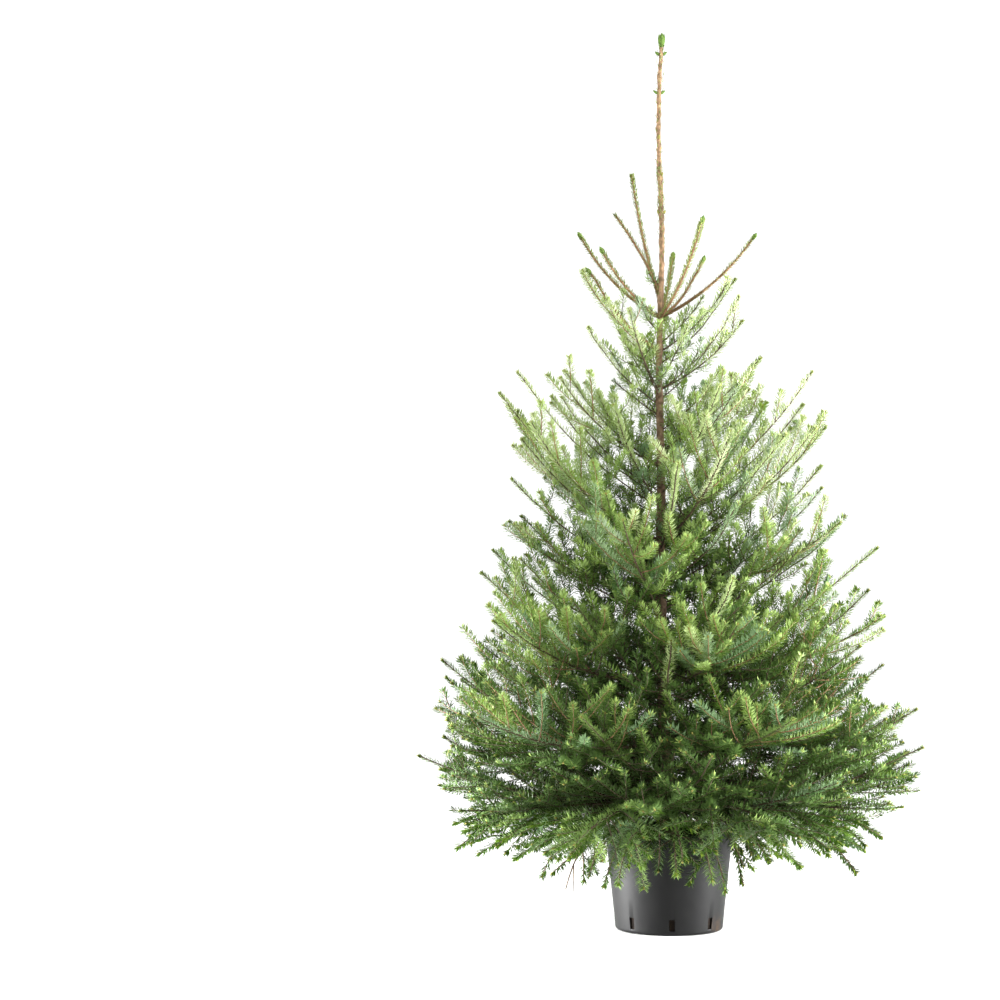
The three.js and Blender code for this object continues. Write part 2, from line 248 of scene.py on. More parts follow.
# A dress of needles: length, width, angle to the wood at the foot and at the tip of the shoot, and
# the wood that each needle takes up
Dress = namedtuple("Dress", "length width lean tip_lean spacing")
FULL = Dress(17.5 * MM, 2.6 * MM, 66, 40, 0.98 * MM)
INNER = Dress(20 * MM, 5.0 * MM, 66, 40, 1.6 * MM)
WOODY = Dress(17 * MM, 3.0 * MM, 62, 40, 1.9 * MM)
SLIM = Dress(14 * MM, 2.4 * MM, 46, 30, 0.6 * MM)
HANGING = Dress(19 * MM, 3.0 * MM, 60, 40, 0.85 * MM)
YOUNG = Dress(11 * MM, 2.2 * MM, 44, 30, 0.6 * MM)
PRESSED = Dress(9 * MM, 1.9 * MM, 26, 16, 1.0 * MM)
INNER_TOP = 800 * MM
# The share of a bough, a twig and a sprig that is bare at its foot, and where a bough's full dress begins
BARE_FEET = (0.06, 0.12, 0.04)
FULL_FROM = 0.5
# How needles sit on a shoot: they crowd to its tip by this power, part to the sides below a level one, by
# a share, lean forward above it, in degrees, and over the last stretch lean in and get shorter
NEEDLE_CROWDING = 1.4
NEEDLE_PARTING = 0.6
NEEDLE_FORWARD = 9
NEEDLE_LEAN_SPREAD = 6
NEEDLE_TURN_SPREAD = 0.3
NEEDLE_LENGTHS = (0.75, 1.12)
TIP_STRETCH = 22 * MM
TIP_SHORTER = 0.72
# A needle's own form: how far out it is set, as a share of the wood's radius, where it is widest, its
# ridge and its curve, and how far its upper face looks outwards and upwards
NEEDLE_ROOT = 0.6
NEEDLE_WIDEST = 0.45
NEEDLE_RIDGE = 0.3 * MM
NEEDLE_CURVE = 0.05
FACE_OUT = 0.45
FACE_UP = 0.8
# Needles stand closer where the crown is more open: the factor on their spacing, by height in metres
CLOSER = (1.22, 0.64)
CLOSER_INSIDE = (1.4, 0.75)
CLOSER_HEIGHTS = (0.35, 0.75)
# And closer on the outer shoots, which show most: a factor, by the place in the crown
OUTER_CLOSER = (1.3, 1.15, 0.84)
OUTER_PLACES = (0.5, 0.7, 0.82)
# And they are a little wider low in the crown
WIDER = (1.25, 1.0)
GOLDEN_TURN = math.radians(137.508)
# Stretches of the leader, by height, and the wood that each pressed needle takes up there, in mm
LEADER_STRETCHES = [(1238, 1400, 2.0), (1400, 1440, 0.45), (1440, 1495, 0.55), (1495, 1735, 1.8)]
# Heights of the pairs of side buds on the leader, in mm: brown ones, and green ones higher up
LEADER_BUDS = [1405, 1480, 1553]
PAIRED_BUDS = [1642, 1718]
# Buds on the leader, and the ring of them round its top: how far out, how steep, length and radius
LEADER_BUD = (2.5 * MM, 1.3, 10 * MM, 3.2 * MM)
PAIRED_BUD = (2.5 * MM, 0.7, 12 * MM, 3.4 * MM)
RING_BUD = (2 * MM, 7, 25 * MM, 4.4 * MM)
RING_COUNT = 5
RING_BELOW = 3 * MM
# Buds at the tips of this year's shoots and of the twigs: how far in, length and radius
SHOOT_BUD = (6 * MM, 16 * MM, 4.8 * MM)
TWIG_BUD = (2 * MM, 8 * MM, 2.4 * MM)
# Shoots with their tip above this have no bud on it, nor have those further in than this
BUDLESS = 1395 * MM
BUDS_OUTSIDE = 0.6

# Tints of the needles, upper side and underside, in sRGB
TINTS = {
    "shade": ("26390E", "3B5122"),
    "deep": ("385217", "4D6731"),
    "grown": ("4B671E", "657D3F"),
    "soft": ("69852C", "88A05A"),
    "light": ("7C9344", "A0B178"),
    "airy": ("93A45F", "B2BE8F"),
    "fresh": ("70882F", "8C9F54"),
    "olive": ("5C6A2C", "7C874C"),
    "grown_cool": ("446435", "6F8A60"),
    "soft_cool": ("5C7A45", "859C72"),
    "light_cool": ("6D8658", "94A585"),
}
# The share of the sprays that are cooler, with more wax on them
COOL_SHARE = 0.2
TINT_NAMES = list(TINTS)
WHORL_NAMED = {whorl.name: whorl for whorl in WHORLS}
# From the middle of the crown outwards and upwards: painted shade inside the crown, turning to painted
# light on the outside and towards the top, where light falls
LADDER = ["shade", "deep", "grown", "soft", "light", "airy"]
# Steps on that ladder: outwards from a share of the crown's reach, upwards from a height, and by chance
OUTWARD_STEPS = 2.5
OUTWARD_FROM = 0.3
OUTWARD_MOST = 0.8
UPWARD_STEPS = 4.15
UPWARD_FROM = 0.35
UPWARD_SPAN = 0.81
CHANCE_STEPS = 0.6
# A spray is a step darker up to this share of its shoot, painted shade at its foot. Higher up it is a step
# lighter beyond the next share, painted light at its tip, but no lighter than one of the ladder's tints, by
# number
PAINTED_SHADE_FOOT = 0.33
PAINTED_LIGHT_TIP = 0.82
PAINTED_LIGHT_FROM = 0.6
LIGHTEST_PAINTED_TIP = 3
# The share of fresh needles near an outer shoot's tip, by height in metres
FRESH = (0.16, 0.3)
FRESH_HEIGHTS = (0.3, 0.6)
FRESH_OUTSIDE = 0.55


def stream(seed):
    """A seeded stream of numbers from 0 to 1, the same as the source's."""
    modulus = 2147483647
    state = (SEED + 7919 * seed) % modulus

    def following():
        nonlocal state
        state = state * 16807 % modulus
        return state / modulus

    following()
    return following


def lerp(start, end, share):
    return start + (end - start) * share


def unit(vectors):
    return vectors / np.maximum(np.linalg.norm(vectors, axis=-1, keepdims=True), 1e-12)


# The pot's outer radius at a height on its plain wall
def pot_radius(height):
    return lerp(POT_FOOT_RADIUS, POT_RIM_RADIUS, height / POT_HEIGHT)


# The middle and the radius of the trunk at a height, or at many
def trunk_centre(height):
    height = np.asarray(height, float)
    grown = height - COMPOST_TOP
    lean = np.sin(math.pi / 2 * np.clip(grown / TRUNK_LEAN_HEIGHT, 0, 1))
    wave = np.cos(2 * math.pi * (height - TRUNK_WAVE_CREST) / TRUNK_WAVE_LENGTH)
    share = np.clip(grown / (TRUNK_TIP - COMPOST_TOP), 0, 1)
    x = TRUNK_WAVE * wave * share - TRUNK_LEAN * lean
    return np.stack([x, np.zeros_like(x), height], axis=-1)


def trunk_radius(height):
    height = np.asarray(height, float)
    grown = height - COMPOST_TOP
    flare = 1 + (TRUNK_FLARE - 1) * np.maximum(0, 1 - grown / TRUNK_FLARE_HEIGHT) ** 2
    share = np.clip(grown / (TOP_WHORL - COMPOST_TOP), 0, 1)
    below = lerp(TRUNK_FOOT_RADIUS, TOP_WHORL_RADIUS, share**TRUNK_TAPER) * flare
    above = lerp(TOP_WHORL_RADIUS, LEADER_RADIUS, (height - TOP_WHORL) / (TRUNK_TIP - TOP_WHORL))
    return np.where(height < TOP_WHORL, below, above)


class Line:
    """A smooth line through points, read by shares of its length."""

    def __init__(self, points, fine=4):
        points = np.asarray(points, float)
        ends = np.vstack([2 * points[0] - points[1], points, 2 * points[-1] - points[-2]])
        before, here, after, beyond = ends[:-3], ends[1:-2], ends[2:-1], ends[3:]
        t = (np.arange(fine) / fine)[None, :, None]
        a, b, c, d = (x[:, None, :] for x in (before, here, after, beyond))
        smooth = 0.5 * (
            2 * b + (c - a) * t + (2 * a - 5 * b + 4 * c - d) * t**2 + (3 * b - a - 3 * c + d) * t**3
        )
        self.points = np.vstack([smooth.reshape(-1, 3), points[-1:]])
        steps = np.diff(self.points, axis=0)
        lengths = np.linalg.norm(steps, axis=1)
        self.length = lengths.sum()
        self.shares = np.concatenate([[0], np.cumsum(lengths)]) / self.length
        self.tangents = unit(np.vstack([steps[:1], steps[:-1] + steps[1:], steps[-1:]]))

    def at(self, share):
        return np.stack([np.interp(share, self.shares, self.points[:, k]) for k in range(3)], axis=-1)

    def along(self, share):
        tangents = [np.interp(share, self.shares, self.tangents[:, k]) for k in range(3)]
        return unit(np.stack(tangents, axis=-1))


# Sideways and upward directions across a shoot, from its direction
NEARLY_UP = np.array([0.03, 0.05, 1.0])


def across(along):
    side = unit(np.cross(NEARLY_UP, along))
    return side, np.cross(along, side)


Bough = namedtuple("Bough", "whorl number length random points line extension")
rng = np.random.default_rng(SEED)


def sway(points, size):
    """Sets a line a little crooked, more towards its tip."""
    count = len(points)
    drift = np.cumsum(rng.normal(0, 1, (count, 3)), axis=0)
    drift -= drift[0]
    return points + drift * size * (np.arange(count) / count)[:, None]


def extension_of(whorl):
    """The share of a bough that is a slim shoot, by whorl and by chance."""
    most = EXTENSION[whorl.name]
    return most if most == 1 else most * rng.uniform(*EXTENSION_SHARES)


def bough_of(whorl, number, seed):
    """The line of one bough, drawn from its own seed."""
    random = stream(seed)

    def vary(size):
        return size * (random() - 0.5)

    bearing = math.radians(whorl.bearing + 360 * number / whorl.boughs + vary(VARIETY["bearing"]))
    length = whorl.length * MM * (1 + vary(VARIETY["length"]))
    tilt = vary(VARIETY["slope"])
    points = [trunk_centre((whorl.height + vary(whorl.spread)) * MM)]
    for i in range(BOUGH_STEPS):
        share = (i + 0.5) / BOUGH_STEPS
        slope = math.radians(lerp(whorl.root_slope, whorl.tip_slope, share) + tilt)
        flat = math.cos(slope)
        step = np.array([flat * math.cos(bearing), flat * math.sin(bearing), math.sin(slope)])
        points.append(points[-1] + step * length / BOUGH_STEPS)
    points = np.array(points)
    stretch = CROWN_STRETCH[number] if whorl.name == "crown" else 1.0
    line = Line(points[0] + stretch * (points - points[0]))
    return Bough(whorl, number, length, random, points, line, extension_of(whorl))


BOUGHS = [
    bough_of(whorl, number, 100 * (rank + 1) + number)
    for rank, whorl in enumerate(WHORLS)
    for number in range(whorl.boughs)
]
BOUGH_POINTS = np.array([bough.points for bough in BOUGHS])


def lesser_bough(bearing, reach, height):
    """The line of a bough between whorls, from its bearing in radians and the place of its tip."""
    name = next(name for name, top in WHORL_TOPS if height < top * MM)
    whorl = WHORL_NAMED[name]
    root, tip = (np.interp(height / MM, SLOPE_HEIGHTS, slopes) for slopes in (ROOT_SLOPES, TIP_SLOPES))
    slopes = np.radians(lerp(root, tip, (np.arange(BOUGH_STEPS) + 0.5) / BOUGH_STEPS))
    length = reach / np.cos(slopes).mean()
    foot = trunk_centre(max(LOWEST_FOOT, height - length * np.sin(slopes).mean()))
    steps = [np.cos(slopes) * math.cos(bearing), np.cos(slopes) * math.sin(bearing), np.sin(slopes)]
    way = np.cumsum(np.stack(steps, axis=1), axis=0) * length / BOUGH_STEPS
    # Where the trunk's lowest bough is too high for the tip, this one hangs deeper
    if way[-1, 2] < 0:
        way[:, 2] *= (height - foot[2]) / way[-1, 2]
    points = np.vstack([foot, foot + way])
    return Bough(whorl, 0, length, None, points, Line(sway(points, LESSER_SWAY)), extension_of(whorl))


def lesser_boughs():
    """The boughs between whorls: at the two sides, all round, round the top and round the pot."""
    made = []
    for tips, bearing, slim in ((LEFT_TIPS, math.pi, 1.0), (RIGHT_TIPS, 0.0, RIGHT_SLIM)):
        for number, (reach, height) in enumerate(tips):
            shift = math.cos(bearing) * trunk_centre(height * MM)[0]
            turn = SIDE_TURNS[number % 2] + rng.normal(0, SIDE_TURN_SPREAD)
            bough = lesser_bough(bearing + turn, (reach * MM - shift) / math.cos(turn), height * MM)
            factor = slim if bough.extension < 1 else 1.0
            made.append(bough._replace(extension=bough.extension * factor))
    for number in range(AROUND_COUNT):
        height = lerp(*AROUND_SPAN, ((number + 0.5) / AROUND_COUNT) ** AROUND_CROWDING)
        reach = np.interp(height, AROUND_HEIGHTS, AROUND_REACHES) * rng.uniform(*AROUND_SHARES)
        made.append(lesser_bough(GOLDEN_TURN * number, reach * MM, height * MM))
    for number in range(TOP_COUNT):
        share = (number + 0.5) / TOP_COUNT
        bearing = GOLDEN_TURN * number + TOP_TURN
        reach = lerp(*TOP_REACHES, share) * rng.uniform(*TOP_SHARES)
        reach *= 1 - TOP_LEAN * max(0, -math.cos(bearing))
        made.append(lesser_bough(bearing, reach * MM, lerp(*TOP_HEIGHTS, share) * MM))
    for number in range(APRON_COUNT):
        bearing = 2 * math.pi * (number + rng.uniform(-APRON_SWING, APRON_SWING)) / APRON_COUNT
        reach, height = rng.uniform(*APRON_REACHES), rng.uniform(*APRON_HEIGHTS)
        height += APRON_RIGHT * max(0, math.cos(bearing) - APRON_SIDE)
        height += APRON_LEFT * max(0, -math.cos(bearing) - APRON_SIDE)
        made.append(lesser_bough(bearing, reach * MM, height * MM))
    return made


def distances(points):
    """The distance from each of some points to every bough's line."""
    feet = BOUGH_POINTS[:, :-1]
    spans = BOUGH_POINTS[:, 1:] - feet
    offsets = points[:, None, None, :] - feet
    shares = np.clip((offsets * spans).sum(-1) / (spans * spans).sum(-1), 0, 1)
    return np.linalg.norm(offsets - shares[..., None] * spans, axis=-1).min(-1)


def above_hem(points):
    """True if points are all above the lower edge of the crown."""
    reach = np.hypot(points[:, 0], points[:, 1])
    return bool((points[:, 2] > np.interp(reach, HEM_REACHES, HEM_HEIGHTS)).all())


def clear_of_core(points, trunk_room, pot_room):
    """True if points are all clear of the trunk and the pot."""
    centres = trunk_centre(points[:, 2])
    from_trunk = np.hypot(points[:, 0] - centres[:, 0], points[:, 1] - centres[:, 1])
    near_trunk = (from_trunk < trunk_radius(points[:, 2]) + trunk_room) & (points[:, 2] < TRUNK_TIP)
    reach = pot_radius(POT_HEIGHT) + POT_LIP + pot_room
    near_pot = (points[:, 2] < POT_HEIGHT + pot_room) & (np.hypot(points[:, 0], points[:, 1]) < reach)
    return not (near_trunk | near_pot).any()


def in_own_space(points, index):
    if not clear_of_core(points, CLEAR_OF_TRUNK, CLEAR_OF_POT):
        return False
    apart = distances(points)
    own = apart[:, index].copy()
    apart[:, index] = np.inf
    return bool((apart.min(1) > own + CLEAR_OF_NEIGHBOUR).all())


def twig_points(start, heading, along, reach, rise, forward=TWIG_FORWARD, count=6):
    """A twig's line: straight out, then bent forwards and towards the light."""
    middle = start + heading * reach / 2
    end = middle + unit(heading + along * forward + UP * rise) * reach / 2
    t = (np.arange(count + 1) / count)[:, None]
    return (1 - t) ** 2 * start + 2 * t * (1 - t) * middle + t**2 * end


def heading_of(along, hand, angle, lift):
    """A side shoot's direction, from its parent's, the side, and its angles in degrees."""
    angle, lift = math.radians(angle), math.radians(lift)
    side, over = across(along)
    outward = side * hand * math.cos(lift) + over * math.sin(lift)
    return along * math.cos(angle) + outward * math.sin(angle)


def twig_length(bough, share):
    return TWIG_LEAST + TWIG_SHARE * bough.length * math.sin(math.pi * share**TWIG_FULLEST)


def source_twigs(bough, index):
    """The side twigs that the source's solids have, by the same draws."""

    def vary(size):
        return size * (bough.random() - 0.5)

    whorl = bough.whorl
    first = TWIG_AFTER_LIMB if whorl.limb else TWIG_FIRST
    twigs = []
    for i in range(whorl.twigs):
        share = lerp(first, TWIG_LAST, (i + 0.5) / whorl.twigs)
        start = bough.line.at(share)
        along = bough.line.along(share)
        angle = lerp(*TWIG_ANGLES, share) + vary(VARIETY["twig_angle"])
        lift = whorl.lift + vary(VARIETY["lift"])
        length = twig_length(bough, share) * (1 + vary(VARIETY["twig_length"]))
        heading = heading_of(along, 1 if i % 2 else -1, angle, lift)
        for trial in TWIG_TRIALS:
            points = twig_points(start, heading, along, length * trial, whorl.rise)
            bent = unit(heading + along * TWIG_FORWARD + UP * whorl.rise)
            tip = points[-1] + bent * SOLID_NEEDLE / 2
            if in_own_space(np.vstack([points[1:], tip]), index):
                twigs.append(Line(points, 2))
                break
    return twigs


Shoot = namedtuple("Shoot", "line foot_radius tip_radius whorl order outer lesser extension")


def fine_rise(whorl):
    """How strongly the finer twigs of a whorl turn up, or hang down from the lowest boughs."""
    return LOW_RISES.get(whorl.name, whorl.rise + FINE_RISE)


def fine_twigs(bough):
    """Twigs between the source's, shorter than those and set more all round the bough."""
    whorl = bough.whorl
    last = 1 - bough.extension
    count = int(max(0, last - FINE_FIRST) * bough.length / FINE_SPACING)
    twigs = []
    for i in range(count):
        share = lerp(FINE_FIRST, last, (i + rng.uniform(*TWIG_PLACES)) / count)
        start = bough.line.at(share)
        along = bough.line.along(share)
        angle = lerp(*TWIG_ANGLES, share) + rng.normal(0, FINE_ANGLE_SPREAD)
        lift = whorl.lift + rng.normal(0, FINE_LIFT_SPREAD)
        shorter = np.interp(start[2], FINE_SHORTER_HEIGHTS, FINE_SHORTER)
        length = twig_length(bough, share) * shorter * rng.uniform(*FINE_SHARES)
        heading = heading_of(along, rng.choice([-1, 1]), angle, lift)
        rise = fine_rise(whorl) + rng.normal(0, FINE_RISE_SPREAD)
        points = twig_points(start, heading, along, length, rise)
        bare = bough.points[-1, 2] <= BARE_BELOW
        if clear_of_core(points[2:], FINE_CLEAR, 2 * CLEAR_OF_POT) and (bare or above_hem(points[2:])):
            twigs.append(Line(sway(points, FINE_SWAY), 2))
    return twigs


def sprigs(line, rise):
    """Side shoots along a twig, by turns right and left, shorter towards its tip."""
    if line.length < SPRIG_PARENT:
        return []
    first, last = SPRIG_SPAN
    count = max(1, int((last - first) * line.length / SPRIG_SPACING))
    made = []
    for i in range(count):
        share = lerp(first, last, (i + rng.uniform(*TWIG_PLACES)) / count)
        along = line.along(share)
        angle = lerp(*SPRIG_ANGLES, share) + rng.normal(0, SPRIG_ANGLE_SPREAD)
        lift = rng.normal(SPRIG_LIFT, SPRIG_LIFT_SPREAD)
        length = max(SPRIG_LEAST, line.length * lerp(*SPRIG_SHARES, share)) * rng.uniform(*SPRIG_LENGTHS)
        heading = heading_of(along, 1 if i % 2 else -1, angle, lift)
        start = line.at(share)
        points = twig_points(start, heading, along, length, rise, SPRIG_FORWARD, SPRIG_STEPS)
        if clear_of_core(points[1:], FINE_CLEAR, 2 * CLEAR_OF_POT) and above_hem(points[1:]):
            made.append(Line(points, 1))
    return made


def outwardness(points):
    """How far out in the crown points lie, 0 at the trunk and 1 at the crown's edge."""
    offset = points - trunk_centre(points[..., 2])
    reach = np.interp(points[..., 2], CROWN_HEIGHTS, CROWN_REACHES)
    return np.hypot(offset[..., 0], offset[..., 1]) / reach


def cells_of(line):
    """The cells of the crown's space that the outer part of a shoot runs through."""
    count = max(3, int(2 * line.length / SHOOT_ROOM))
    places = line.at(np.linspace(ROOM_FROM, 1, count))
    return set(map(tuple, np.floor(places / SHOOT_ROOM).astype(int)))


def grow(boughs):
    """Every shoot of the crown, from the boughs to the last sprigs, each with room of its own."""
    shoots = []
    taken = set()

    def settle(line, radii, name, order, lesser, extension=0.0, certain=False):
        cells = cells_of(line)
        tip = line.points[-1]
        outer = float(outwardness(tip))
        most = np.interp(tip[2], CROWDED_HEIGHTS, CROWDED) if outer > INSIDE else CROWDED_INSIDE
        edges = (np.interp(tip[2], EDGE_HEIGHTS, edges) for edges in (LEFT_EDGES, RIGHT_EDGES))
        within = outer < lerp(*edges, 0.5 + 0.5 * tip[0] / np.hypot(tip[0], tip[1]))
        if certain or (within and len(cells & taken) <= most * len(cells)):
            taken.update(cells)
            shoots.append(Shoot(line, *radii, name, order, outer, lesser, extension))

    for index, bough in enumerate(boughs):
        girth = STEM_GIRTH * float(trunk_radius(bough.whorl.height * MM))
        young = bough.whorl.name in SHOOT_WHORLS
        lesser = index >= len(BOUGHS)
        radii = SHOOT_RADII if young else (girth * (LESSER_GIRTH if lesser else 1), BOUGH_TIP_RADIUS)
        settle(bough.line, radii, bough.whorl.name, 0, lesser, bough.extension, True)
    for index, bough in enumerate(BOUGHS):
        for twig in source_twigs(bough, index):
            settle(twig, TWIG_RADII, bough.whorl.name, 1, False, certain=True)
    for index, bough in enumerate(boughs):
        radii = TWIG_RADII if bough.points[-1, 2] > BARE_BELOW else BARE_RADII
        for twig in fine_twigs(bough):
            settle(twig, radii, bough.whorl.name, 1, index >= len(BOUGHS))
    for shoot in [shoot for shoot in shoots if shoot.order == 1]:
        for sprig in sprigs(shoot.line, fine_rise(WHORL_NAMED[shoot.whorl])):
            settle(sprig, SPRIG_RADII, shoot.whorl, 2, shoot.lesser)
    return shoots


def needles_on(line, radius, dress, start=0.0, end=1.0):
    """The four corners of each needle on a stretch of a shoot: root, tip, left and right."""
    span = (end - start) * line.length
    count = max(1, int(span / dress.spacing))
    steps = (np.arange(count) + rng.uniform(*NEEDLE_PLACES, count)) / count
    share = lerp(start, end, 1 - (1 - steps) ** NEEDLE_CROWDING)
    centre = line.at(share)
    along = line.along(share)
    side, over = across(along)
    turn = GOLDEN_TURN * np.arange(count) + rng.uniform(0, 2 * math.pi)
    turn += rng.normal(0, NEEDLE_TURN_SPREAD, count)
    level = 1 - np.abs(along[:, 2])
    rise = np.sin(turn)
    rise = np.where(rise < 0, rise * (1 - NEEDLE_PARTING * level), rise)
    reach = np.sign(np.cos(turn)) * np.sqrt(np.maximum(0, 1 - rise**2))
    radial = side * reach[:, None] + over * rise[:, None]
    near_tip = np.clip((share * line.length - line.length + TIP_STRETCH) / TIP_STRETCH, 0, 1)
    lean = lerp(dress.lean, dress.tip_lean, near_tip) - NEEDLE_FORWARD * level * np.maximum(rise, 0)
    lean = np.radians(lean + rng.normal(0, NEEDLE_LEAN_SPREAD, count))
    forward = along * np.cos(lean)[:, None] + radial * np.sin(lean)[:, None]
    length = dress.length * rng.uniform(*NEEDLE_LENGTHS, count) * lerp(1, TIP_SHORTER, near_tip**2)
    face = radial * FACE_OUT + UP * FACE_UP
    face = unit(face - forward * (face * forward).sum(1)[:, None])
    wide = np.cross(forward, face) * dress.width / 2
    root = centre + radial * radius * NEEDLE_ROOT
    tip = root + forward * length[:, None] + face * length[:, None] * NEEDLE_CURVE
    middle = root + forward * (NEEDLE_WIDEST * length)[:, None] - face * NEEDLE_RIDGE
    return np.stack([root, tip, middle - wide, middle + wide], axis=1), near_tip, share


def tint_of(outer, height):
    """The tint of a spray: paler towards the outside and the top of the crown, painted light there and
    painted shade inside.
    """
    outward = OUTWARD_STEPS * np.clip(outer - OUTWARD_FROM, 0, OUTWARD_MOST)
    upward = UPWARD_STEPS * np.clip((height - UPWARD_FROM) / UPWARD_SPAN, 0, 1)
    step = outward + upward + rng.normal(0, CHANCE_STEPS)
    name = LADDER[int(np.clip(step, 0, len(LADDER) - 1))]
    cool = name + "_cool"
    return cool if cool in TINTS and rng.uniform() < COOL_SHARE else name


def clothe(shoots):
    """Needles on every shoot, by whorl: corners and tints."""
    gathered = {whorl.name: ([], []) for whorl in WHORLS}
    for shoot in shoots:
        line = shoot.line
        corners, tints = gathered[shoot.whorl]
        extension = shoot.extension
        height = line.points[-1, 2]
        if shoot.order == 0:
            young = shoot.whorl in SHOOT_WHORLS
            slim = YOUNG if young else SLIM
            middle = line.at(0.5)
            spray = tint_of(float(outwardness(middle)), middle[2])
            outer_spray = tint_of(shoot.outer, height)
            stretches = [(1 - extension, 1.0, slim, "olive" if young else outer_spray)]
            if shoot.whorl == "skirt":
                stretches = [(FULL_FROM, 1.0, HANGING, outer_spray)] if height > BARE_BELOW else []
                stretches.append((BARE_FEET[0], FULL_FROM, WOODY, spray))
            elif extension < 1:
                half = min(FULL_FROM, 1 - extension)
                stretches.append((half, 1 - extension, FULL, outer_spray))
                stretches.append((BARE_FEET[0], half, WOODY, spray))
        else:
            spray = tint_of(shoot.outer, height)
            if height < BARE_BELOW:
                continue
            inside = shoot.outer < INSIDE and height < INNER_TOP
            dress = HANGING if shoot.whorl == "skirt" else INNER if inside else FULL
            closeness = CLOSER_INSIDE if dress is INNER else CLOSER
            closer = dress.spacing * np.interp(height, CLOSER_HEIGHTS, closeness)
            if dress is FULL:
                closer *= np.interp(shoot.outer, OUTER_PLACES, OUTER_CLOSER)
            wider = dress.width * (1 if dress is INNER else np.interp(height, CLOSER_HEIGHTS, WIDER))
            dress = dress._replace(spacing=closer, width=wider)
            stretches = [(BARE_FEET[shoot.order], 1.0, dress, spray)]
        for start, end, dress, tint in stretches:
            made, near_tip, share = needles_on(line, shoot.tip_radius, dress, start, end)
            look = np.full(len(made), TINT_NAMES.index(tint))
            # Painted shade at the foot of each spray and, higher up, painted light at its tip
            if shoot.order and tint in LADDER:
                rank = LADDER.index(tint)
                look[share < PAINTED_SHADE_FOOT] = max(rank - 1, 0)
                if height > PAINTED_LIGHT_FROM:
                    look[share > PAINTED_LIGHT_TIP] = min(rank + 1, max(rank, LIGHTEST_PAINTED_TIP))
            if end == 1.0 and shoot.outer > FRESH_OUTSIDE:
                fresh = rng.uniform(size=len(made)) < np.interp(height, FRESH_HEIGHTS, FRESH)
                look[(near_tip > 0.5) & fresh] = TINT_NAMES.index("fresh")
            corners.append(made)
            tints.append(look)
    corners, tints = gathered["spire"]
    for low, high, spacing in LEADER_STRETCHES:
        line = Line(trunk_centre(np.linspace(low, high, 9) * MM))
        radius = 2 * trunk_radius(low * MM) + 1 * MM
        made, _, _ = needles_on(line, radius, PRESSED._replace(spacing=spacing * MM))
        corners.append(made)
        tints.append(np.full(len(made), TINT_NAMES.index("olive")))
    return {name: (np.concatenate(c), np.concatenate(t)) for name, (c, t) in gathered.items() if c}


# Corners of a needle's faces: two upper ones along its ridge and two pale ones below
NEEDLE_FACES = np.array([[0, 3, 1], [0, 1, 2], [0, 2, 3], [1, 3, 2]])
NEEDLE_SIDES = np.array([0, 0, 1, 1])


def mesh_of(name, places, triangles, looks=None, smooth=False):
    """A mesh object from arrays of places and triangles."""
    mesh = bpy.data.meshes.new(name)
    mesh.vertices.add(len(places))
    mesh.vertices.foreach_set("co", places.astype(np.float32).ravel())
    mesh.loops.add(triangles.size)
    mesh.loops.foreach_set("vertex_index", triangles.astype(np.int32).ravel())
    mesh.polygons.add(len(triangles))
    mesh.polygons.foreach_set("loop_start", np.arange(0, triangles.size, 3, dtype=np.int32))
    if looks is not None:
        mesh.polygons.foreach_set("material_index", looks.astype(np.int32))
    mesh.polygons.foreach_set("use_smooth", np.full(len(triangles), smooth))
    mesh.update(calc_edges=True)
    mesh.validate()
    return shown(name, mesh)


def shown(name, mesh):
    piece = bpy.data.objects.new(name, mesh)
    bpy.context.scene.collection.objects.link(piece)
    return piece


def needle_piece(name, corners, tints):
    count = len(corners)
    feet = 4 * np.arange(count)[:, None, None]
    triangles = (feet + NEEDLE_FACES[None]).reshape(-1, 3)
    looks = (2 * tints[:, None] + NEEDLE_SIDES[None]).ravel()
    piece = mesh_of(name, corners.reshape(-1, 3), triangles, looks)
    for surface in NEEDLE_MATERIALS:
        piece.data.materials.append(surface)
    return piece


def tube(line, foot_radius, tip_radius, sides, segment, belly=0.0):
    """A twig's wood or a bud: rings along a line, closed at both ends."""
    rings = max(2, int(round(line.length / segment)) + 1)
    share = np.linspace(0, 1, rings)
    centre = line.at(share)
    side, over = across(line.along(share))
    radius = lerp(foot_radius, tip_radius, share) + belly * np.sin(math.pi * share)
    radius = radius * rng.uniform(*WOOD_GIRTHS, rings)
    turn = 2 * math.pi * np.arange(sides) / sides
    ring = side[:, None] * np.cos(turn)[None, :, None] + over[:, None] * np.sin(turn)[None, :, None]
    places = (centre[:, None] + ring * radius[:, None, None]).reshape(-1, 3)
    near = np.arange(sides)
    step = np.roll(near, -1)
    base = sides * np.arange(rings - 1)[:, None]
    lower = np.stack([base + near, base + step, base + sides + near], -1)
    upper = np.stack([base + step, base + sides + step, base + sides + near], -1)
    fan = np.stack([np.zeros(sides - 2, int), near[2:], near[1:-1]], -1)
    end = np.stack([np.zeros(sides - 2, int), near[1:-1], near[2:]], -1) + sides * (rings - 1)
    triangles = np.concatenate([lower.reshape(-1, 3), upper.reshape(-1, 3), fan, end])
    return places, triangles


def joined(name, parts, surface):
    """Many small meshes as one piece."""
    offsets = np.cumsum([0] + [len(places) for places, _ in parts[:-1]])
    places = np.concatenate([places for places, _ in parts])
    triangles = np.concatenate([faces + offset for (_, faces), offset in zip(parts, offsets)])
    piece = mesh_of(name, places, triangles, smooth=True)
    piece.data.materials.append(surface)
    return piece


def linear(code):
    """An sRGB hex colour as linear RGBA."""
    channels = [int(code[i : i + 2], 16) / 255 for i in (0, 2, 4)]
    return [c / 12.92 if c <= 0.04045 else ((c + 0.055) / 1.055) ** 2.4 for c in channels] + [1.0]


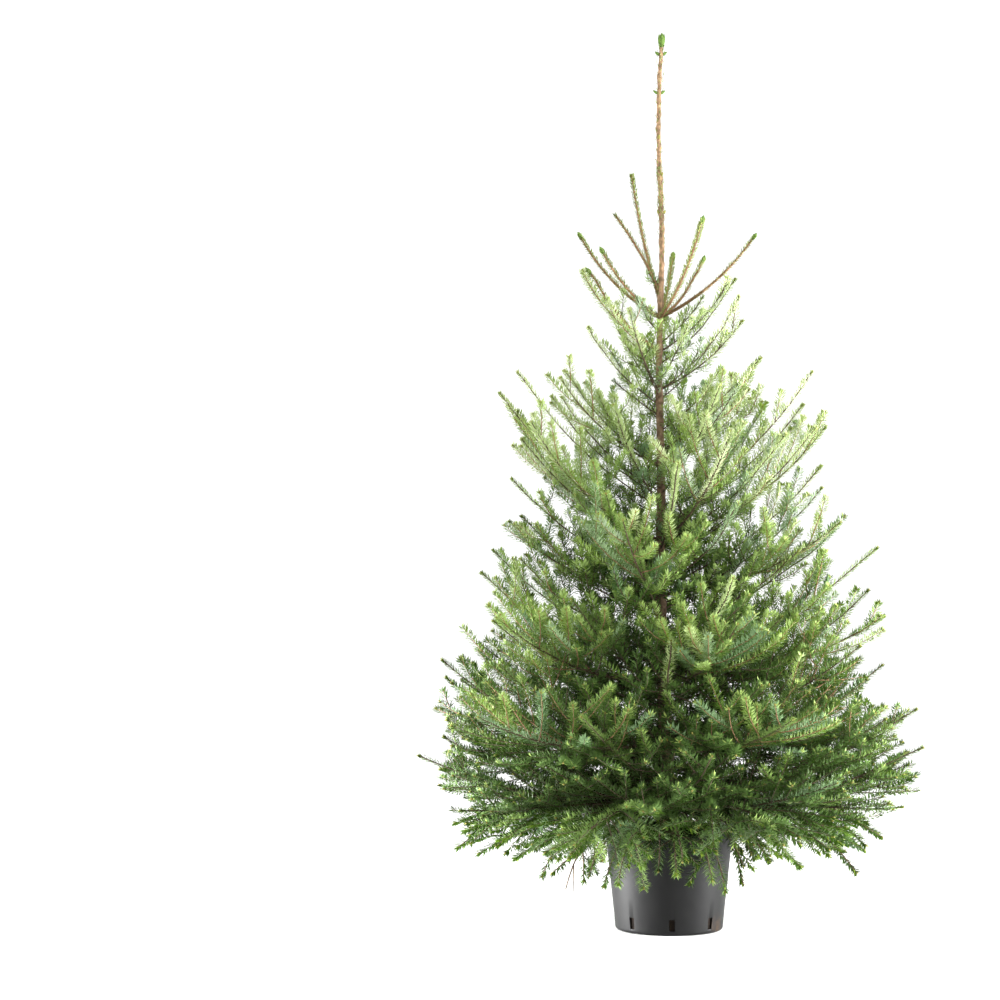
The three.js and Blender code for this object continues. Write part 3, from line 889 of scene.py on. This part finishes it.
def add(tree, kind, inputs=(), stops=(), **settings):
    """Adds a node with its settings and a ramp's stops, and sets or links its inputs."""
    made = tree.nodes.new("ShaderNode" + kind)
    for name, value in settings.items():
        setattr(made, name, value)
    for number, (position, code) in enumerate(stops):
        elements = made.color_ramp.elements
        element = elements[number] if number < len(elements) else elements.new(position)
        element.position = position
        element.color = linear(code)
    for name, value in dict(inputs).items():
        if isinstance(value, bpy.types.NodeSocket):
            tree.links.new(value, made.inputs[name])
        else:
            made.inputs[name].default_value = value
    return made


def material(name):
    made = bpy.data.materials.new(name)
    made.use_nodes = True
    made.node_tree.nodes.clear()
    return made, made.node_tree


def finished(tree, inputs):
    surface = add(tree, "BsdfPrincipled", inputs)
    add(tree, "OutputMaterial", {"Surface": surface.outputs["BSDF"]})


def spots(tree, place, size, detail):
    """A noise pattern with spots of about this size."""
    return add(tree, "TexNoise", {"Vector": place, "Scale": 1 / size, "Detail": detail}).outputs["Fac"]


def relief(tree, height, strength, depth):
    made = add(tree, "Bump", {"Height": height, "Strength": strength, "Distance": depth})
    return made.outputs["Normal"]


# Spruce needles: waxy, a soft sheen above and pale bands of wax below
def needle_green(name, code):
    made, tree = material(name)
    finished(tree, {
        "Base Color": linear(code),
        "Roughness": 0.5,
        "IOR": 1.42,
        "Specular IOR Level": 0.2,
    })
    return made


NEEDLE_MATERIALS = [
    needle_green(f"spruce_needle_{name}_{side}", code)
    for name, codes in TINTS.items()
    for side, code in zip(("upper", "underside"), codes)
]


# Spruce bark: grey-brown scales over a rusty ground, or tan on young wood. The codes are those of the
# ground, the scales and their ridges, and lie at these places of the pattern. Old bark turns to young
# between these heights in metres.
BARK_STOPS = (0.36, 0.64, 0.8)
YOUNG_SPAN = (0.9, 1.3)


def bark(name, codes, scale_size, young_codes=None):
    made, tree = material(name)
    place = add(tree, "TexCoord").outputs["Object"]
    scales = {"Fac": spots(tree, place, scale_size, 5.0)}
    tones = add(tree, "ValToRGB", scales, zip(BARK_STOPS, codes)).outputs["Color"]
    if young_codes:
        height = add(tree, "SeparateXYZ", {"Vector": place}).outputs["Z"]
        low, high = YOUNG_SPAN
        young = add(tree, "MapRange", {"Value": height, "From Min": low, "From Max": high})
        young_tones = add(tree, "ValToRGB", scales, zip(BARK_STOPS, young_codes)).outputs["Color"]
        mixed = {"Fac": young.outputs["Result"], "Color1": tones, "Color2": young_tones}
        tones = add(tree, "MixRGB", mixed).outputs["Color"]
    grain = spots(tree, place, scale_size / 3, 4.0)
    finished(tree, {
        "Base Color": tones,
        "Roughness": 0.8,
        "IOR": 1.45,
        "Normal": relief(tree, grain, 0.6, 0.6 * MM),
    })
    return made


TAN_WOOD = ("5A4931", "98795B", "C2A583")
TRUNK_BARK = bark("spruce_bark_trunk", ("4A3526", "76604A", "97866F"), 9 * MM, TAN_WOOD)
OLD_BARK = bark("spruce_bark_old_twig", ("3A2C20", "544332", "6E5D4A"), 5 * MM)
YOUNG_BARK = bark("spruce_bark_young_twig", ("6A4A33", "8C684C", "A88866"), 5 * MM)
BUD_SCALE = bark("spruce_bud_scale", ("5E5A26", "857C3A", "A49A56"), 3 * MM)
BUD_GREEN = bark("spruce_bud_green", ("3F581C", "587528", "78923F"), 3 * MM)


# Blown polyethylene: near black, with a soft sheen that fine scuffs break up, and a stain of soil beside
# one slot
STAIN_PLACE = (92 * MM, -50 * MM, 16 * MM)


def polyethylene():
    made, tree = material("polyethylene_nursery_pot")
    place = add(tree, "TexCoord").outputs["Object"]
    scuffs = spots(tree, place, 22 * MM, 6.0)
    gloss = add(tree, "MapRange", {"Value": scuffs, "To Min": 0.42, "To Max": 0.54})
    tone = add(tree, "ValToRGB", {"Fac": scuffs}, [(0, "0F0F10"), (1, "171717")])
    from_slot = add(tree, "VectorMath", {0: place, 1: STAIN_PLACE}, operation="DISTANCE")
    near_slot = add(tree, "MapRange", {
        "Value": from_slot.outputs["Value"],
        "From Min": 26 * MM,
        "From Max": 12 * MM,
        "To Max": 0.8,
    })
    soiled = add(tree, "MapRange", {
        "Value": spots(tree, place, 18 * MM, 4.0),
        "From Min": 0.35,
        "From Max": 0.6,
        "To Max": near_slot.outputs["Result"],
    })
    tone = add(tree, "MixRGB", {
        "Fac": soiled.outputs["Result"],
        "Color1": tone.outputs["Color"],
        "Color2": linear("33271D"),
    })
    # The wall's grain, drawn coarser than the real one so that it shows
    pores = spots(tree, place, 1.6 * MM, 2.0)
    finished(tree, {
        "Base Color": tone.outputs["Color"],
        "Roughness": gloss.outputs["Result"],
        "IOR": 1.5,
        "Specular IOR Level": 0.1,
        "Normal": relief(tree, pores, 0.12, 0.2 * MM),
    })
    return made


# Peat compost: dark crumbs with paler fibres, so porous that they hardly shine
def peat():
    made, tree = material("peat_compost")
    place = add(tree, "TexCoord").outputs["Object"]
    crumbs = spots(tree, place, 4 * MM, 6.0)
    tone = add(tree, "ValToRGB", {"Fac": crumbs}, [(0.35, "0A0705"), (0.75, "1E1610")])
    finished(tree, {
        "Base Color": tone.outputs["Color"],
        "Roughness": 0.95,
        "Specular IOR Level": 0.1,
        "Normal": relief(tree, crumbs, 0.8, 1.5 * MM),
    })
    return made


def mesh_piece(name, bm, surface, smooth=True):
    mesh = bpy.data.meshes.new(name)
    bm.to_mesh(mesh)
    bm.free()
    mesh.polygons.foreach_set("use_smooth", [smooth] * len(mesh.polygons))
    mesh.materials.append(surface)
    return shown(name, mesh)


def spun(profile, steps, start=0.0):
    """A bmesh of a profile of (radius, height) points spun round the pot's axis."""
    bm = bmesh.new()
    turn = Matrix.Rotation(start, 3, "Z")
    verts = [bm.verts.new(turn @ Vector((radius, 0, height))) for radius, height in profile]
    edges = [bm.edges.new(pair) for pair in zip(verts, verts[1:])]
    bmesh.ops.spin(
        bm, geom=verts + edges, cent=(0, 0, 0), axis=(0, 0, 1), angle=2 * math.pi, steps=steps,
        use_merge=True,
    )
    bmesh.ops.remove_doubles(bm, verts=bm.verts, dist=0.01 * MM)
    bmesh.ops.recalc_face_normals(bm, faces=bm.faces)
    return bm


# The pot's wall is spun in steps that a drain slot takes four of
POT_STEPS = 240
SLOT_STEPS = 4
# Rings on its underside and higher on its wall, the rounding of its lip, and its soft edges
UNDERSIDE_RING = 60 * MM
WALL_RINGS = (70 * MM, 120 * MM)
LIP_ROUND = 2 * MM
LIP_SHOULDER = 0.6 * MM
SOFT_EDGE = 0.5 * MM
SOFT_EDGE_ANGLE = 50


def make_pot():
    corner = [
        (
            pot_radius(POT_CORNER) - POT_CORNER * (1 - math.sin(turn)),
            POT_CORNER * (1 - math.cos(turn)),
        )
        for turn in np.linspace(0, math.pi / 2, 6)
    ]
    under_lip = POT_HEIGHT - POT_LIP_HEIGHT
    slot_foot, slot_top = SLOT_BOTTOM + POT_CORNER / 2, SLOT_BOTTOM + SLOT_HEIGHT
    wall = [(pot_radius(height), height) for height in (slot_foot, slot_top, *WALL_RINGS, under_lip)]
    rim = pot_radius(POT_HEIGHT) + POT_LIP
    lip = [
        (pot_radius(under_lip) + POT_LIP, under_lip + POT_LIP / 2),
        (rim, POT_HEIGHT - LIP_ROUND),
        (rim - LIP_SHOULDER, POT_HEIGHT - LIP_SHOULDER),
        (rim - LIP_ROUND, POT_HEIGHT),
    ]
    profile = [(0, 0), (UNDERSIDE_RING, 0)] + corner + wall + lip
    step = 2 * math.pi / POT_STEPS
    first = math.radians(SLOT_TURN - 90) - SLOT_STEPS * step / 2
    bm = spun(profile, POT_STEPS, first)
    slots = []
    for face in bm.faces:
        middle = face.calc_center_median()
        turn = (math.atan2(middle.y, middle.x) - first) % (2 * math.pi / SLOT_COUNT)
        if turn < SLOT_STEPS * step and slot_foot < middle.z < slot_top:
            slots.append(face)
    bmesh.ops.delete(bm, geom=slots, context="FACES")
    bmesh.ops.solidify(bm, geom=bm.faces[:], thickness=POT_WALL)
    pot = mesh_piece("pot_shell", bm, polyethylene())
    edge = pot.modifiers.new("soft_edges", "BEVEL")
    edge.width = SOFT_EDGE
    edge.segments = 2
    edge.limit_method = "ANGLE"
    edge.angle_limit = math.radians(SOFT_EDGE_ANGLE)
    return pot


# The compost's surface lies a little below its level, and crumbs stand up from it and in from the wall
COMPOST_DIP = 2 * MM
CRUMB_SIZE = 9 * MM
CRUMB_HEIGHT = 2.2 * MM
CRUMB_DEPTH = 1.2 * MM


def make_compost():
    inside = [pot_radius(height) - POT_WALL - 2 * GAP for height in (POT_FLOOR + GAP, COMPOST_TOP)]
    level = COMPOST_TOP - COMPOST_DIP
    side = [(lerp(*inside, share), lerp(POT_FLOOR + GAP, level, share)) for share in np.linspace(0, 1, 14)]
    top = [(inside[1] * share, level) for share in np.linspace(0.97, 0, 30)]
    bm = spun([(0, POT_FLOOR + GAP)] + side + top, 120)
    for vert in bm.verts:
        place = vert.co / CRUMB_SIZE
        crumb = noise.noise(place) + 0.5 * noise.noise(place * 2.3)
        if vert.co.z > COMPOST_TOP - 3 * MM:
            vert.co.z += crumb * CRUMB_HEIGHT
        elif vert.co.z > 2 * POT_FLOOR:
            vert.co.xy -= vert.co.xy.normalized() * (0.6 + crumb) * CRUMB_DEPTH
    return mesh_piece("compost_crumb", bm, peat())


# The two directions across an upright stem
LEVEL = (np.array([1.0, 0, 0]), np.array([0, 1.0, 0]))


def lofted(bm, centres, frames, radius_at, sides):
    """Draws a limb out ring by ring, each vertex at the radius for its ring and its turn."""
    turn = bm.verts.layers.float.get("turn") or bm.verts.layers.float.new("turn")
    verts = bmesh.ops.create_circle(bm, segments=sides, radius=1)["verts"]
    for vert in verts:
        vert[turn] = math.atan2(vert.co.y, vert.co.x)
    edges = list(dict.fromkeys(edge for vert in verts for edge in vert.link_edges))
    bmesh.ops.contextual_create(bm, geom=edges)
    for ring, (centre, (side, over)) in enumerate(zip(centres, frames)):
        if ring:
            made = bmesh.ops.extrude_edge_only(bm, edges=edges)["geom"]
            verts = [part for part in made if isinstance(part, bmesh.types.BMVert)]
            new = set(verts)
            edges = [
                part for part in made if isinstance(part, bmesh.types.BMEdge) and new.issuperset(part.verts)
            ]
        for vert in verts:
            out = side * math.cos(vert[turn]) + over * math.sin(vert[turn])
            vert.co = Vector(centre + out * radius_at(ring, vert[turn]))
    bmesh.ops.contextual_create(bm, geom=edges)


TRUNK_RING = 5 * MM
TRUNK_SIDES = 18
BUD_SIDES = 15
BUD_RINGS = 13
BUD_SET_IN = 4 * MM
# Relief of the bark: swelling at each whorl, root lobes, long scales, and the knobs that needles leave
WHORL_SWELL = 0.12
WHORL_SWELL_HEIGHT = 9 * MM
ROOT_LOBES = 5
ROOT_LOBE_DEPTH = 0.12
SCALE_LENGTH = 26 * MM
SCALE_DEPTHS = (0.07, 0.05)
KNOB_LENGTH = 11 * MM
LEADER_KNOB = 3.2 * MM
TRUNK_KNOB = 1.2 * MM


def make_trunk():
    foot = COMPOST_TOP + GAP
    heights = np.arange(foot, TRUNK_TIP - BUD_LENGTH, TRUNK_RING)
    centres = trunk_centre(heights)
    radii = trunk_radius(heights)
    whorl_heights = np.array([whorl.height for whorl in WHORLS]) * MM
    near_whorl = np.exp(-(((heights[:, None] - whorl_heights) / WHORL_SWELL_HEIGHT) ** 2)).sum(1)
    swell = 1 + WHORL_SWELL * near_whorl

    def radius_at(ring, turn):
        height = heights[ring]
        at_root = max(0, 1 - (height - foot) / TRUNK_FLARE_HEIGHT)
        lobes = ROOT_LOBE_DEPTH * math.cos(ROOT_LOBES * turn + 0.7) * at_root
        place = Vector((math.cos(turn) * 2.2, math.sin(turn) * 2.2, height / SCALE_LENGTH))
        scales = noise.noise(place) * SCALE_DEPTHS[0] + noise.noise(place * 2.7) * SCALE_DEPTHS[1]
        bumps = noise.noise(Vector((math.cos(turn) * 1.4, math.sin(turn) * 1.4, height / KNOB_LENGTH)))
        knobs = max(0, bumps) * (LEADER_KNOB if height > TOP_WHORL else TRUNK_KNOB)
        return radii[ring] * swell[ring] * (1 + lobes + scales) + knobs

    bm = bmesh.new()
    lofted(bm, centres, [LEVEL] * len(heights), radius_at, TRUNK_SIDES)
    bmesh.ops.recalc_face_normals(bm, faces=bm.faces)
    return mesh_piece("trunk_bark", bm, TRUNK_BARK)


BOUGH_RING = 10 * MM
BOUGH_SIDES = 7
BOUGH_END_RADIUS = 1.2 * MM
BOUGH_TAPER = 0.8
COLLAR_SWELL = 0.5
COLLAR_LENGTH = 9 * MM
BOUGH_RELIEF = 0.16


def make_boughs():
    """The wood of every bough, with bumps where its twigs and needles stood."""
    bm = bmesh.new()
    for index, bough in enumerate(BOUGHS):
        if bough.whorl.name in SHOOT_WHORLS:
            continue
        trunk = float(trunk_radius(bough.points[0, 2]))
        foot = (LIMB_GIRTH if bough.whorl.limb else STEM_GIRTH) * trunk
        rings = int(bough.length / BOUGH_RING)
        share = np.linspace(0, 1, rings)
        along = bough.line.along(share)
        sides, overs = across(along)
        radii = lerp(foot, BOUGH_END_RADIUS, share**BOUGH_TAPER)
        collar = 1 + COLLAR_SWELL * np.exp(-share * bough.length / COLLAR_LENGTH)

        def radius_at(ring, turn):
            place = Vector((math.cos(turn), math.sin(turn), ring * 0.7 + 50 * index))
            return radii[ring] * collar[ring] * (1 + BOUGH_RELIEF * noise.noise(place * 1.7))

        lofted(bm, bough.line.at(share), list(zip(sides, overs)), radius_at, BOUGH_SIDES)
    bmesh.ops.recalc_face_normals(bm, faces=bm.faces)
    return mesh_piece("bough_bark", bm, OLD_BARK)


def make_twigs(shoots):
    """The wood of the twigs: older wood inside the crown, rusty young wood outside."""
    old = []
    young = []
    for shoot in shoots:
        this_year = shoot.whorl in SHOOT_WHORLS
        if shoot.order == 0 and not shoot.lesser and not this_year:
            continue
        order = shoot.order
        high = shoot.line.points[-1, 2] > YOUNG_BARK_FROM
        outside = order and high and shoot.outer > YOUNG_BARK_OUTSIDE
        wood = tube(shoot.line, shoot.foot_radius, shoot.tip_radius, WOOD_SIDES[order], WOOD_RINGS[order])
        (young if this_year or outside else old).append(wood)
    return [joined("twigs_old", old, OLD_BARK), joined("twigs_young", young, YOUNG_BARK)]


def bud(place, heading, length, radius):
    line = Line([place, place + heading * length / 2, place + heading * length], 2)
    return tube(line, 0.6 * radius, 0.15 * radius, 4, length / 3, 0.6 * radius)


def tip_bud(shoot, set_in, length, radius):
    heading = shoot.line.tangents[-1]
    return bud(shoot.line.points[-1] - heading * set_in, heading, length, radius)


def leader_bud(height, out, set_out, steep, length, radius):
    return bud(trunk_centre(height) + out * set_out, unit(out + UP * steep), length, radius)


def outwards(turn):
    return np.array([math.cos(turn), math.sin(turn), 0])


def make_buds(shoots):
    """Buds at the tips of the outer shoots and in pairs on the leader."""
    brown = []
    green = []
    for shoot in shoots:
        if not BARE_BELOW < shoot.line.points[-1, 2] < BUDLESS:
            continue
        if shoot.whorl in SHOOT_WHORLS:
            green.append(tip_bud(shoot, *SHOOT_BUD))
        elif shoot.order < 2 and shoot.outer > BUDS_OUTSIDE:
            brown.append(tip_bud(shoot, *TWIG_BUD))
    for number, height in enumerate(LEADER_BUDS):
        for hand in (0, math.pi):
            brown.append(leader_bud(height * MM, outwards(GOLDEN_TURN * number + hand), *LEADER_BUD))
    for height in PAIRED_BUDS:
        for hand in (-1, 1):
            green.append(leader_bud(height * MM, hand * np.array([1, 0.2, 0]), *PAIRED_BUD))
    for number in range(RING_COUNT):
        out = outwards(2 * math.pi * number / RING_COUNT)
        green.append(leader_bud(TRUNK_TIP - BUD_LENGTH - RING_BELOW, out, *RING_BUD))
    return [joined("side_buds", brown, BUD_SCALE), joined("shoot_buds", green, BUD_GREEN)]


def make_leader_bud():
    """The terminal bud: an egg of overlapping scales."""
    foot = TRUNK_TIP - BUD_LENGTH
    shares = np.linspace(0, 1, BUD_RINGS)
    centres = trunk_centre(foot - BUD_SET_IN + shares * (BUD_LENGTH + BUD_SET_IN))
    swell = np.sqrt(np.maximum(0.02, np.sin(math.pi * (0.12 + 0.88 * shares**0.8))))

    def radius_at(ring, turn):
        scales = 0.12 * math.cos(5 * turn + 0.9 * ring)
        return BUD_RADIUS * float(swell[ring]) * 0.9 * (1 + scales)

    bm = bmesh.new()
    lofted(bm, centres, [LEVEL] * len(shares), radius_at, BUD_SIDES)
    bmesh.ops.recalc_face_normals(bm, faces=bm.faces)
    return mesh_piece("leader_bud", bm, BUD_GREEN)


# Camera: level, at half the tree's height, turned so that the pot stands right of the middle
IMAGE_SIZE = 1000
CAMERA_DISTANCE = 5.8
CAMERA_HEIGHT = 0.843
SENSOR = 36
METRES_PER_PIXEL = 1.97 * MM
POT_MIDDLE_PIXEL = 669


def make_camera():
    data = bpy.data.cameras.new("camera")
    data.sensor_width = SENSOR
    data.lens = SENSOR * CAMERA_DISTANCE / (IMAGE_SIZE * METRES_PER_PIXEL)
    camera = shown("camera", data)
    turn = math.atan((POT_MIDDLE_PIXEL - IMAGE_SIZE / 2) * METRES_PER_PIXEL / CAMERA_DISTANCE)
    camera.location = (0, -CAMERA_DISTANCE, CAMERA_HEIGHT)
    camera.rotation_euler = (math.pi / 2, 0, turn)
    bpy.context.scene.camera = camera


def softbox(name, place, aim, size, power, spread=180):
    data = bpy.data.lights.new(name, "AREA")
    data.shape = "RECTANGLE"
    data.size, data.size_y = size
    data.energy = power
    data.spread = math.radians(spread)
    lamp = shown(name, data)
    lamp.location = place
    lamp.rotation_euler = (Vector(aim) - Vector(place)).to_track_quat("-Z", "Y").to_euler()


# Softboxes: place, aim, size and power, and for the two low ones a spread in degrees
SOFTBOXES = {
    "softbox_left": ((-2.4, -0.2, 0.75), (0, 0, 0.5), (1.2, 1.5), 60),
    "softbox_right": ((2.4, -0.6, 0.75), (0, 0, 0.5), (1.2, 1.5), 212),
    "softbox_low_left": ((-1.5, 0.0, 0.1), (0, 0, 0.08), (0.5, 0.18), 19, 60),
    "softbox_low_right": ((1.6, -0.1, 0.1), (0, 0, 0.08), (0.6, 0.18), 7, 60),
    "softbox_above": ((0, -1.2, 3.4), (0, 0, 0.6), (2.2, 2.2), 56),
}
WORLD_STRENGTH = 1.3
FLOOR_SIZE = 40


def make_stage():
    bm = bmesh.new()
    bmesh.ops.create_grid(bm, x_segments=2, y_segments=2, size=FLOOR_SIZE)
    surface, tree = material("white_studio_floor")
    finished(tree, {"Base Color": linear("FAFAF9"), "Roughness": 0.9})
    floor = mesh_piece("floor", bm, surface, False)
    world = bpy.data.worlds.new("studio")
    world.use_nodes = True
    background = world.node_tree.nodes["Background"].inputs
    background["Color"].default_value = (1, 1, 1, 1)
    background["Strength"].default_value = WORLD_STRENGTH
    bpy.context.scene.world = world
    for name, settings in SOFTBOXES.items():
        softbox(name, *settings)
    bpy.context.scene.view_settings.view_transform = "Standard"


make_camera()
make_stage()

boughs = BOUGHS + lesser_boughs()
shoots = grow(boughs)
foliage = clothe(shoots)
mass_nodes = [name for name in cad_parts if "_mass_" in name]
limb_nodes = [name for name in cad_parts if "_limb_" in name]
pieces = []
for name, (corners, tints) in foliage.items():
    masses = [node for node in mass_nodes if node.startswith(name)]
    parts = max(1, math.ceil(4 * len(corners) / MOST_TRIANGLES))
    for part, (some, looks) in enumerate(zip(np.array_split(corners, parts), np.array_split(tints, parts))):
        pieces.append((needle_piece(f"{name}_needles_{part + 1}", some, looks), "needles", masses))
pieces += [
    (make_pot(), "pot", ["pot"]),
    (make_compost(), "compost", ["compost"]),
    (make_trunk(), "bark", ["trunk"]),
    (make_boughs(), "bark", limb_nodes),
    *((twigs, "bark", []) for twigs in make_twigs(shoots)),
    *((buds, "needles", []) for buds in make_buds(shoots)),
    (make_leader_bud(), "needles", []),
]
for piece, slot, nodes in pieces:
    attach(piece, "root")
    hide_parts(*nodes)
